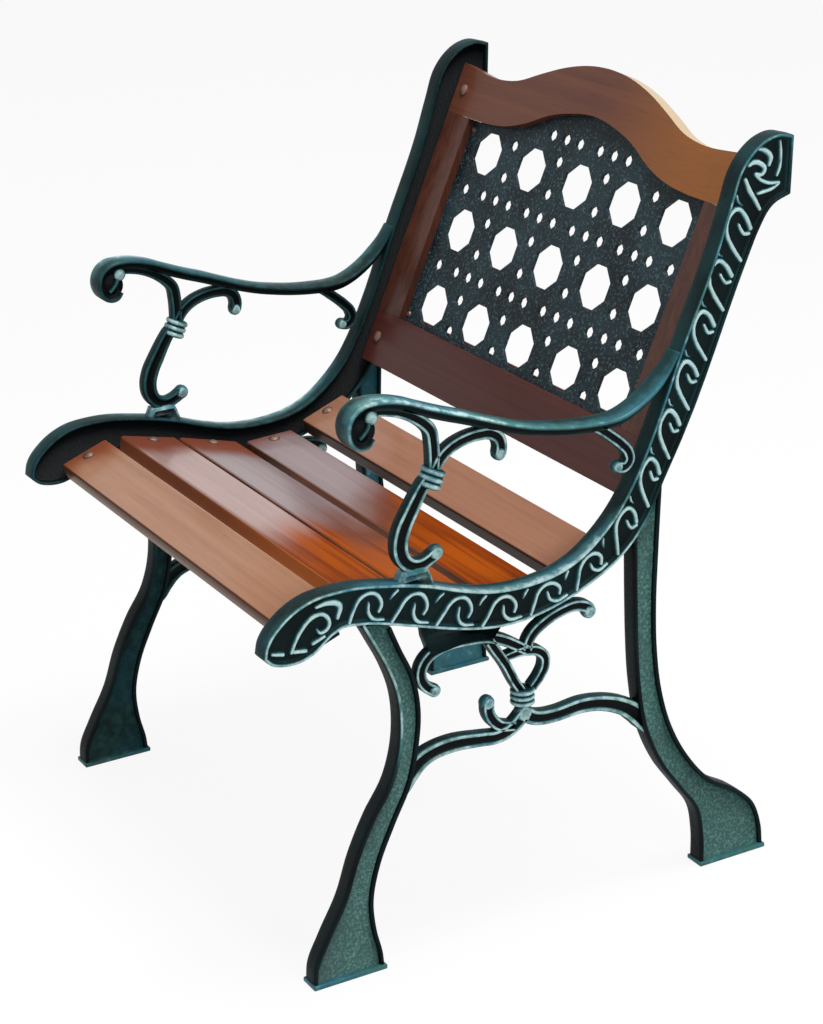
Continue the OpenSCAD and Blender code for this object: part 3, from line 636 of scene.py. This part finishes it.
class Value:
    """A node's socket that takes part in sums; each sum adds its Math node."""

    def __init__(self, finish, socket):
        self.finish, self.socket = finish, socket

    def sum(self, kind, *values):
        return self.finish.node("ShaderNodeMath", dict(operation=kind), *values)

    def __add__(self, o):
        return self.sum("ADD", self, o)

    def __radd__(self, o):
        return self.sum("ADD", o, self)

    def __sub__(self, o):
        return self.sum("SUBTRACT", self, o)

    def __rsub__(self, o):
        return self.sum("SUBTRACT", o, self)

    def __mul__(self, o):
        return self.sum("MULTIPLY", self, o)

    def __rmul__(self, o):
        return self.sum("MULTIPLY", o, self)

    def within(self, low, high):
        """0 below low, 1 above high, and a smooth rise between them."""
        kind = dict(interpolation_type="SMOOTHSTEP", clamp=True)
        return self.finish.node("ShaderNodeMapRange", kind, self, low, high, 0.0, 1.0)


class Finish:
    """A material and the nodes that make its surface."""

    def __init__(self, name, **constants):
        self.mat = bpy.data.materials.new(name)
        self.mat.use_nodes = True
        self.tree = self.mat.node_tree
        self.shader = next(n for n in self.tree.nodes if n.type == "BSDF_PRINCIPLED")
        for key, value in constants.items():
            self.give(key.replace("_", " "), value)
        self.place = self.node("ShaderNodeTexCoord", out=3)

    def give(self, key, value):
        """Sets one of the shader's own inputs."""
        self.plug(self.shader.inputs[key], value)

    def plug(self, socket, value):
        if isinstance(value, Value):
            self.tree.links.new(value.socket, socket)
        else:
            socket.default_value = value

    def node(self, kind, settings=None, *values, out=0, **named):
        n = self.tree.nodes.new(kind)
        for key, value in (settings or {}).items():
            setattr(n, key, value)
        for socket, value in zip(n.inputs, values):
            self.plug(socket, value)
        for key, value in named.items():
            self.plug(n.inputs[key.replace("_", " ")], value)
        return Value(self, n.outputs[out])

    def mix(self, a, b, factor):
        """From colour a to colour b as the factor goes from 0 to 1.

        By number, because the Mix node has sockets of the same names for other kinds of data.
        """
        n = self.tree.nodes.new("ShaderNodeMix")
        n.data_type, n.clamp_factor = "RGBA", True
        for k, value in ((0, factor), (6, a), (7, b)):
            self.plug(n.inputs[k], value)
        return Value(self, n.outputs[2])

    def stretch(self, at, by):
        return self.node("ShaderNodeVectorMath", dict(operation="MULTIPLY"), at, by)

    def axes(self, at):
        """The x, y and z of a vector."""
        first = self.node("ShaderNodeSeparateXYZ", None, at)
        return [Value(self, socket) for socket in first.socket.node.outputs]

    def facing_up(self, low, high):
        """1 where the surface faces up, with low and high the upward share of its normal."""
        normal = self.node("ShaderNodeNewGeometry", out=1)
        return self.axes(normal)[2].within(low, high)

    def noise(self, at, scale, detail=3.0, rough=0.5, bend=0.0):
        return self.node("ShaderNodeTexNoise", Vector=at, Scale=scale, Detail=detail,
                         Roughness=rough, Distortion=bend)

    def grain(self, at):
        """Soft stripes and pores along the first axis of at."""
        wave = self.noise(self.stretch(at, (2.0, 9.0, 9.0)), 1.0, 2.0)
        lines = self.noise(self.stretch(at, (3.0, 110.0, 110.0)), 1.0, 4.0, 0.6, 0.6)
        pores = self.noise(self.stretch(at, (30.0, 900.0, 900.0)), 1.0, 2.0, 0.5)
        return lines * 0.6 + wave * 0.4, pores.within(0.55, 0.8)

    def surface(self, colour, rough, height, depth, strength):
        self.give("Base Color", colour)
        self.give("Roughness", rough)
        self.give("Normal", self.node("ShaderNodeBump", Strength=strength, Distance=depth,
                                      Height=height))
        return self.mat


def shade(*screen):
    """A colour given as it looks on a screen, 0 to 255, as the shader takes it."""
    shares = [v / 255 / 12.92 if v <= 10 else ((v / 255 + 0.055) / 1.055) ** 2.4 for v in screen]
    return (*shares, 1.0)


def painted_iron(name):
    """What both cast finishes share: broad patches, hammer marks and pits."""
    f = Finish(name, IOR=1.5, Specular_IOR_Level=0.08, Coat_Roughness=0.3)
    patch = f.noise(f.place, 14.0, 3.0)
    hammer = f.noise(f.place, 330.0, 2.0, 0.6)
    pits = f.noise(f.place, 900.0, 2.0, 0.5)
    return f, patch, hammer, pits


def painted_surface(f, colour, hammer, pits):
    return f.surface(colour, 0.38 + hammer * 0.25, hammer * 0.7 + pits * 0.3, 0.0012, 0.5)


def casting_paint():
    """Near-black green paint with painted shade in the hollows, its raised edges pale blue-green,
    partly brushed paint and partly painted highlight.
    """
    f, patch, hammer, pits = painted_iron("painted_casting")
    high = f.node("ShaderNodeAttribute", dict(attribute_name="high"), out=2)
    brush = f.noise(f.place, 90.0, 3.0, 0.6) - 0.5
    colour = f.mix(shade(10, 26, 28), shade(22, 54, 56), patch.within(0.3, 0.7))
    # Painted shade: near black where high is below 0
    colour = f.mix(shade(2, 5, 7), colour, high.within(-0.4, 0.1))
    teal = f.mix(shade(58, 108, 106), shade(40, 100, 116), patch.within(0.35, 0.65))
    colour = f.mix(colour, teal, (high + brush * 0.5).within(0.2, 0.8))
    # Pale edges where high is near 1, partly brushed paint and partly painted highlight
    colour = f.mix(colour, shade(172, 200, 200), (high + brush * 0.9).within(0.7, 1.15))
    web = f.mix(shade(42, 78, 76), shade(82, 124, 116), hammer.within(0.4, 0.75))
    web = f.mix(web, shade(44, 66, 68), patch.within(0.4, 0.75) * 0.6)
    colour = f.mix(colour, web, high.within(1.4, 1.8))
    f.give("Coat Weight", high.within(0.2, 0.9) * 0.35)
    return painted_surface(f, colour, hammer, pits)


def panel_paint():
    """The lattice panel's paint, dark slate with paler hammer marks."""
    f, patch, hammer, pits = painted_iron("painted_panel")
    colour = f.mix(shade(10, 20, 26), shade(28, 46, 52), patch.within(0.3, 0.7))
    colour = f.mix(colour, shade(92, 116, 122), hammer.within(0.5, 0.75) * 0.6)
    f.give("Coat Weight", 0.12)
    return painted_surface(f, colour, hammer, pits)


def stained_wood(name, light, dark, deep, gloss, along=None, glow=None):
    """Varnished boards, their grain along x or along that direction.

    With glow, the right-hand end has that colour and its upper edges carry a painted highlight.
    """
    f = Finish(name, IOR=1.5, Coat_Roughness=gloss * 0.6, Specular_IOR_Level=0.1,
               Coat_Weight=0.2)
    at = f.place
    x, y, _ = f.axes(at)
    if along:
        up = f.node("ShaderNodeVectorMath", dict(operation="DOT_PRODUCT"), at, along, out=1)
        at = f.node("ShaderNodeCombineXYZ", None, up, x, y)
    lines, pores = f.grain(at)
    colour = f.mix(dark, light, lines.within(0.3, 0.75))
    if glow:
        colour = f.mix(colour, f.mix(glow, light, lines * 0.5), x.within(-0.02, 0.2))
        # Painted highlight: cream on the upward faces of the right-hand end
        painted_sheen = f.facing_up(0.5, 0.7) * (x + 0.02).within(0.0, 0.08)
        colour = f.mix(colour, shade(172, 150, 120), painted_sheen)
    colour = f.mix(colour, deep, pores * 0.3)
    return f.surface(colour, gloss + lines * 0.12, lines * 0.6 + pores * 0.4, 0.0004, 0.35)


def seat_wood():
    """The seat's varnish: a painted sheen of reflected light on top towards the left, orange at
    the right, side faces in painted light and shade.

    Places are in metres, and y tells the slats apart. A border on a slant moves 0.72 m to the
    left for each metre further back.
    """
    f = Finish("slat_varnish", IOR=1.5, Coat_Roughness=0.16, Specular_IOR_Level=0.03)
    lines, pores = f.grain(f.place)
    lines = lines.within(0.25, 0.75)
    x, y, z = f.axes(f.place)
    upper = f.facing_up(0.5, 0.85)
    cloud = f.noise(f.stretch(f.place, (5.0, 14.0, 14.0)), 1.0, 2.0) - 0.5
    slant = y * 0.72
    front_slat, rear_slat = (0.0 - y).within(0.2, 0.203), y.within(0.028, 0.032)
    rear_three = y.within(-0.13, -0.12)

    # Warm varnish, duller in the middle
    warm = f.mix(shade(110, 42, 2), shade(148, 68, 3), (lines + cloud).within(0.2, 0.8))
    duller = (0.045 - slant - x + cloud * 0.3).within(-0.03, 0.05) * (y + 0.12).within(0.0, 0.03)
    warm = f.mix(warm, f.mix(shade(92, 48, 30), shade(112, 62, 42), lines), duller)
    # Brown towards the left, left bare of the sheen at the slats' left ends as painted shadow
    warm = f.mix(warm, shade(112, 60, 44), (0.0 - x).within(0.0, 0.1))

    # The painted sheen, a reflection of light, between its slanting right edge and its ragged left
    # one
    left_end = (x + 0.225 + cloud * 0.1 + y.within(-0.045, -0.04) * 0.05).within(-0.02, 0.03)
    pale = (-0.039 - slant - x + cloud * 0.12).within(-0.05, 0.06) * left_end
    painted_sheen = f.mix(f.mix(shade(136, 110, 104), shade(162, 134, 128), lines),
                     f.mix(shade(116, 100, 102), shade(142, 124, 124), lines), rear_three)
    colour = f.mix(warm, painted_sheen, pale)

    # The front and the rear slat carry a tan painted sheen in their whole length, the front one
    # darker at its left end as painted shadow
    tan = f.mix(shade(142, 100, 76), shade(162, 122, 98), lines)
    front_sheen_and_shade = f.mix(shade(124, 66, 44), tan, (x + 0.25 + cloud * 0.1).within(-0.02, 0.03))
    colour = f.mix(colour, front_sheen_and_shade, front_slat)
    colour = f.mix(colour, f.mix(shade(132, 90, 70), shade(150, 108, 86), lines), rear_slat)

    # Side faces, painted light so that they show in the shaded gaps, brighter to the right and
    # darker at each end of the seat
    edge = f.mix(shade(140, 82, 56), shade(198, 112, 60), (x + y + cloud * 0.3).within(-0.35, 0.0))
    brown = f.mix(shade(96, 60, 46), shade(136, 88, 64), cloud.within(-0.1, 0.1))
    edge = f.mix(edge, brown, y.within(-0.14, -0.13))
    edge = f.mix(edge, shade(70, 48, 38), rear_slat)
    # Slat 1's front face: painted shade under its top edge, lighter lower down as a painted
    # reflection of the floor
    front = f.mix(shade(82, 48, 30), shade(132, 108, 92), (0.374 - z).within(0.0, 0.011))
    edge = f.mix(edge, front, front_slat)

    colour = f.mix(edge, colour, upper)
    colour = f.mix(colour, shade(70, 30, 16), pores * 0.2)
    f.give("Coat Weight", (pale * 0.44 + 0.02) * upper)
    return f.surface(colour, 0.3 + lines * 0.1, lines * 0.4 + pores * 0.4, 0.0004, 0.3)


def bolt_steel():
    """Round heads dulled to a brown-grey."""
    f = Finish("dulled_steel", Metallic=0.6)
    cloud = f.noise(f.place, 260.0, 3.0)
    colour = f.mix(shade(84, 58, 50), shade(140, 112, 100), cloud)
    return f.surface(colour, 0.4 + cloud * 0.2, cloud, 0.0002, 0.3)


slat_finish = seat_wood()
crest_finish = stained_wood("crest_varnish", shade(104, 62, 44), shade(80, 44, 36),
                            shade(58, 30, 22), 0.32, glow=shade(140, 84, 30))
rail_finish = stained_wood("rail_varnish", shade(82, 42, 36), shade(64, 32, 28),
                           shade(40, 18, 16), 0.34)
stile_finish = stained_wood("stile_varnish", shade(92, 54, 40), shade(60, 34, 28),
                            shade(40, 22, 18), 0.34, along=(0, math.sin(LEAN), math.cos(LEAN)))
iron_finish = casting_paint()
panel_finish = panel_paint()
steel_finish = bolt_steel()

for name, flip in (("right_end", False), ("left_end", True)):
    piece = make_casting(name + "_casting", iron_finish, flip)
    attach(piece, "root")
    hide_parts(name)

# Finish and width of the rounded edges in mm; what isn't here is a bolt, a washer or a nut
looks = {"seat_slat": (slat_finish, 1.0), "back_crest": (crest_finish, 2.0),
         "back_bottom": (rail_finish, 1.5), "left_back_stile": (stile_finish, 1.5),
         "right_back_stile": (stile_finish, 1.5), "back_panel": (panel_finish, 0.6)}
for node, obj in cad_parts.items():
    mat, edge = next((look for key, look in looks.items() if node.startswith(key)),
                     (steel_finish, None))
    for slot in obj.material_slots:
        slot.material = mat
    if edge:
        bevel = obj.modifiers.new("soft_edges", "BEVEL")
        bevel.width, bevel.segments, bevel.limit_method = edge * MM, 3, "ANGLE"
        bevel.angle_limit = math.radians(40)


def backdrop_share(tree, seen, unseen):
    """A socket at seen + unseen for rays that show the backdrop, and at unseen for all others."""
    ray = tree.nodes.new("ShaderNodeLightPath")
    total = ray.outputs["Is Camera Ray"]
    for kind in ("Is Glossy Ray", "Is Transmission Ray"):
        both = tree.nodes.new("ShaderNodeMath")
        both.operation = "MAXIMUM"
        tree.links.new(total, both.inputs[0])
        tree.links.new(ray.outputs[kind], both.inputs[1])
        total = both.outputs[0]
    level = tree.nodes.new("ShaderNodeMath")
    level.operation = "MULTIPLY_ADD"
    tree.links.new(total, level.inputs[0])
    level.inputs[1].default_value, level.inputs[2].default_value = seen, unseen
    return level.outputs[0]


def lamp(name, at, size, power):
    """A round area lamp that shines on the chair's middle."""
    data = bpy.data.lights.new(name, "AREA")
    data.shape, data.size, data.energy = "DISK", size, power
    obj = bpy.data.objects.new(name, data)
    obj.location = at
    aim = Vector((0, 0, 0.4)) - Vector(at)
    obj.rotation_euler = aim.to_track_quat("-Z", "Y").to_euler()
    bpy.context.scene.collection.objects.link(obj)


# Plain studio, in metres: a pale floor, a white world and two broad soft lamps
floor_mesh = bpy.data.meshes.new("floor")
floor_mesh.from_pydata([(-20, -20, 0), (20, -20, 0), (20, 20, 0), (-20, 20, 0)], [],
                       [(0, 1, 2, 3)])
floor = bpy.data.objects.new("floor", floor_mesh)
bpy.context.scene.collection.objects.link(floor)
floor_mat = bpy.data.materials.new("pale_floor")
floor_mat.use_nodes = True
nodes, links = floor_mat.node_tree.nodes, floor_mat.node_tree.links
base = next(n for n in nodes if n.type == "BSDF_PRINCIPLED")
base.inputs["Base Color"].default_value = (0.86, 0.86, 0.86, 1)
base.inputs["Roughness"].default_value = 1.0
glow, mix = nodes.new("ShaderNodeEmission"), nodes.new("ShaderNodeMixShader")
links.new(backdrop_share(floor_mat.node_tree, 0.9, 0.0), mix.inputs[0])
links.new(base.outputs[0], mix.inputs[1])
links.new(glow.outputs[0], mix.inputs[2])
out = next(n for n in nodes if n.type == "OUTPUT_MATERIAL")
links.new(mix.outputs[0], out.inputs["Surface"])
floor_mesh.materials.append(floor_mat)

world = bpy.data.worlds.new("studio")
bpy.context.scene.world = world
world.use_nodes = True
sky = next(n for n in world.node_tree.nodes if n.type == "BACKGROUND")
sky.inputs["Color"].default_value = (1, 1, 1, 1)
world.node_tree.links.new(backdrop_share(world.node_tree, 0.62, 0.38), sky.inputs["Strength"])

lamp("soft_key", (0.5, 0.3, 3.3), 1.6, 100)
lamp("soft_fill", (2.8, 0.4, 1.6), 1.4, 26)

# The photo's camera: turned from the chair's front, raised and rolled by these angles
CAMERA_AT = (2.27164, -1.24529, 1.37093)
TURN, RISE, ROLL = (math.radians(a) for a in (60.751, 21.429, -1.537))
FOCAL_PX, PHOTO_PX = 2575.25, 1024
cam_data = bpy.data.cameras.new("photo_camera")
cam_data.sensor_width = 36.0
cam_data.lens = FOCAL_PX * 36 / PHOTO_PX
back = Vector((math.sin(TURN) * math.cos(RISE), -math.cos(TURN) * math.cos(RISE),
               math.sin(RISE)))
level = (-back).cross(Vector((0, 0, 1))).normalized()
upright = level.cross(-back)
right = level * math.cos(ROLL) + upright * math.sin(ROLL)
up = upright * math.cos(ROLL) - level * math.sin(ROLL)
cam = bpy.data.objects.new("photo_camera", cam_data)
cam.matrix_world = (Matrix.Translation(CAMERA_AT)
                    @ Matrix((right, up, back)).transposed().to_4x4())
bpy.context.scene.collection.objects.link(cam)
bpy.context.scene.camera = cam
bpy.context.scene.view_settings.view_transform = "Standard"
